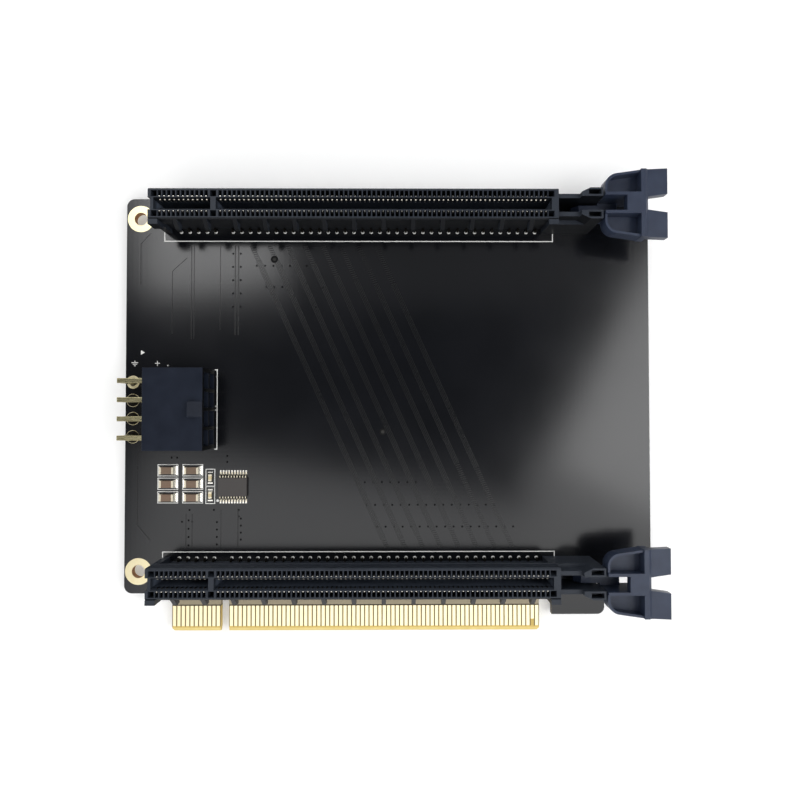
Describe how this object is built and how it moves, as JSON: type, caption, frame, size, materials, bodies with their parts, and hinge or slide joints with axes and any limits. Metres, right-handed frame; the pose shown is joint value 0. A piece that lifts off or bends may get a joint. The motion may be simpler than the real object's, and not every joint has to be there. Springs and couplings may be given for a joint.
{
  "type": "pcie bifurcation riser card",
  "caption": "Flat black riser card with a gold edge connector along one side, a pair of long latched card slots across it and a right-angle power header.",
  "frame": {"origin": "midway between the two mounting holes, on the board's underside", "axes": "+X along the slots towards their latches, +Y from the edge connector to the far slot, +Z out of the component side"},
  "size_m": [0.121, 0.1023, 0.0151],
  "materials": {
    "black_solder_mask_board": "glossy solder mask",
    "gold_plate": "hard gold plate",
    "black_moulded_slot": "moulded, satin",
    "black_moulded_latch": "moulded, satin",
    "black_moulded_header": "moulded, satin",
    "tinned_contact": "tin plate",
    "tinned_brass_pin": "flash plated",
    "tinned_terminal": "tin plate",
    "capacitor_ceramic": "fired ceramic",
    "resistor_glaze": "glazed",
    "chip_epoxy": "moulded epoxy"
  },
  "bodies": {
    "card": {"back_edge_fingers": "gold_plate", "board": "black_solder_mask_board", "capacitor_1": "capacitor_ceramic", "capacitor_1_end_caps": "tinned_terminal", "capacitor_2": "capacitor_ceramic", "capacitor_2_end_caps": "tinned_terminal", "capacitor_3": "capacitor_ceramic", "capacitor_3_end_caps": "tinned_terminal", "capacitor_4": "capacitor_ceramic", "capacitor_4_end_caps": "tinned_terminal", "capacitor_5": "capacitor_ceramic", "capacitor_5_end_caps": "tinned_terminal", "capacitor_6": "capacitor_ceramic", "capacitor_6_end_caps": "tinned_terminal", "driver_chip": "chip_epoxy", "driver_chip_leads": "tinned_contact", "front_edge_fingers": "gold_plate", "lower_slot_housing": "black_moulded_slot", "mounting_pads": "gold_plate", "power_header": "black_moulded_header", "power_pin_1": "tinned_brass_pin", "power_pin_2": "tinned_brass_pin", "power_pin_3": "tinned_brass_pin", "power_pin_4": "tinned_brass_pin", "power_pin_5": "tinned_brass_pin", "power_pin_6": "tinned_brass_pin", "power_pin_7": "tinned_brass_pin", "power_pin_8": "tinned_brass_pin", "resistor_1": "resistor_glaze", "resistor_1_end_caps": "tinned_terminal", "resistor_2": "resistor_glaze", "resistor_2_end_caps": "tinned_terminal", "upper_slot_housing": "black_moulded_slot"},
    "upper_latch": {"upper_slot_latch": "black_moulded_latch"},
    "lower_latch": {"lower_slot_latch": "black_moulded_latch"}
  },
  "joints": [
    {"name": "upper_latch_hinge", "type": "hinge", "parent": "card", "child": "upper_latch", "pos_m": [0.10185, 0.04064, 0.006], "axis": [0, 1, 0], "range_deg": [0, 22]},
    {"name": "lower_latch_hinge", "type": "hinge", "parent": "card", "child": "lower_latch", "pos_m": [0.10185, -0.04064, 0.006], "axis": [0, 1, 0], "range_deg": [0, 22]}
  ]
}
